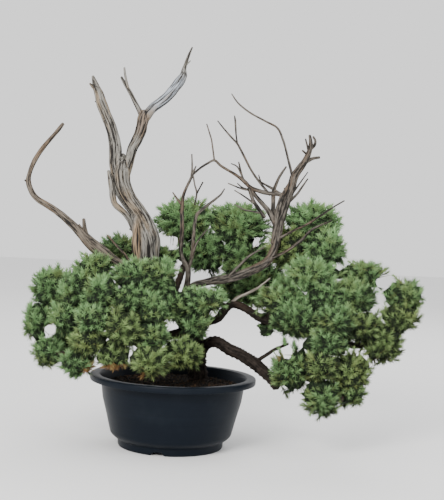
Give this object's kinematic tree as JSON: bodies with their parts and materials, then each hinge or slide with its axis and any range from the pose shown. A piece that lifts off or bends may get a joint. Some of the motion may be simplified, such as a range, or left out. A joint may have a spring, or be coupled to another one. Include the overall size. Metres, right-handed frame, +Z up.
{
  "type": "potted juniper bonsai",
  "caption": "Dwarf juniper bonsai with a leaning trunk, tall bleached deadwood and dense needle foliage, in a low round black plastic nursery pot.",
  "frame": {"origin": "centre of the whole plant's footprint, on the surface that the pot stands on", "axes": "+Z up, +X to the viewer's right in the picture, +Y away from the viewer"},
  "size_m": [0.5076, 0.2156, 0.5045],
  "materials": {
    "black_plastic": "satin",
    "soil": "matte",
    "bark": "rough",
    "silver_deadwood": "weathered",
    "grey_deadwood": "weathered",
    "brown_deadwood": "weathered",
    "needles_fresh": "matte",
    "needles_olive": "matte",
    "needles_deep": "matte"
  },
  "bodies": {
    "root": {"arch_jin": "brown_deadwood", "left_jin": "grey_deadwood", "pot": "black_plastic", "soil": "soil", "spray_back_01": "needles_deep", "spray_back_02": "needles_deep", "spray_back_03": "needles_deep", "spray_back_04": "needles_fresh", "spray_back_05": "needles_deep", "spray_left_01": "needles_fresh", "spray_left_02": "needles_fresh", "spray_left_03": "needles_fresh", "spray_left_04": "needles_fresh", "spray_left_05": "needles_fresh", "spray_left_06": "needles_fresh", "spray_left_07": "needles_fresh", "spray_left_08": "needles_fresh", "spray_left_09": "needles_fresh", "spray_left_10": "needles_olive", "spray_left_11": "needles_olive", "spray_left_12": "needles_deep", "spray_mid_01": "needles_fresh", "spray_mid_02": "needles_fresh", "spray_mid_03": "needles_fresh", "spray_mid_04": "needles_fresh", "spray_mid_05": "needles_fresh", "spray_mid_06": "needles_olive", "spray_mid_07": "needles_fresh", "spray_mid_08": "needles_olive", "spray_mid_09": "needles_olive", "spray_mid_10": "needles_fresh", "spray_mid_11": "needles_fresh", "spray_mid_12": "needles_fresh", "spray_right_01": "needles_fresh", "spray_right_02": "needles_fresh", "spray_right_03": "needles_olive", "spray_right_04": "needles_olive", "spray_right_05": "needles_fresh", "spray_right_06": "needles_fresh", "spray_right_07": "needles_fresh", "spray_right_08": "needles_olive", "spray_right_09": "needles_fresh", "spray_right_10": "needles_fresh", "spray_right_11": "needles_fresh", "spray_right_12": "needles_fresh", "spray_right_13": "needles_olive", "spray_right_14": "needles_olive", "spray_right_15": "needles_fresh", "spray_right_16": "needles_fresh", "spray_right_17": "needles_fresh", "spray_top_01": "needles_fresh", "spray_top_02": "needles_fresh", "spray_top_03": "needles_fresh", "spray_top_04": "needles_fresh", "spray_top_05": "needles_fresh", "spray_top_06": "needles_olive", "spray_top_07": "needles_fresh", "spray_top_08": "needles_fresh", "tall_jin": "silver_deadwood", "trunk": "bark"}
  },
  "joints": []
}
